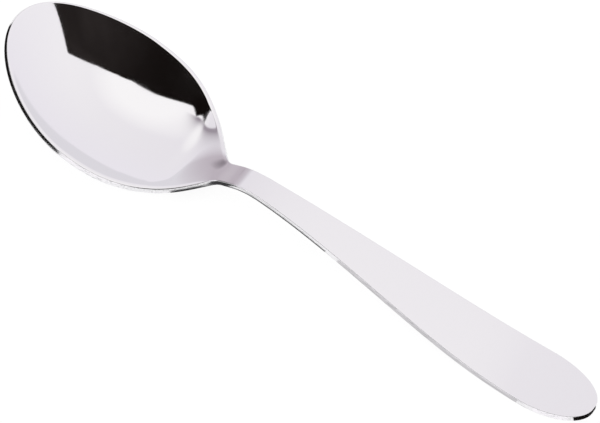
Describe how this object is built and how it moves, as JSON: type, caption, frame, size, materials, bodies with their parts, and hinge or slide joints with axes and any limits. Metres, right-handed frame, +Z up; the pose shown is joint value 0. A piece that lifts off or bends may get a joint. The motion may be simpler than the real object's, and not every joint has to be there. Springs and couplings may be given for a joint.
{
  "type": "teaspoon",
  "caption": "Polished stainless steel teaspoon: an oval dished bowl, a narrow neck with a raised crank, and a plain arched handle that widens to a round end.",
  "frame": {"origin": "on the table under the middle of the spoon's length and width, as it lies bowl up", "axes": "+X along the length from the bowl's tip to the handle's end, +Z up out of the bowl, +Y across it"},
  "size_m": [0.1366, 0.0338, 0.0148],
  "materials": {
    "polished_steel": "mirror-polished stainless steel with fine use marks"
  },
  "bodies": {
    "root": {"spoon": "polished_steel"}
  },
  "joints": []
}
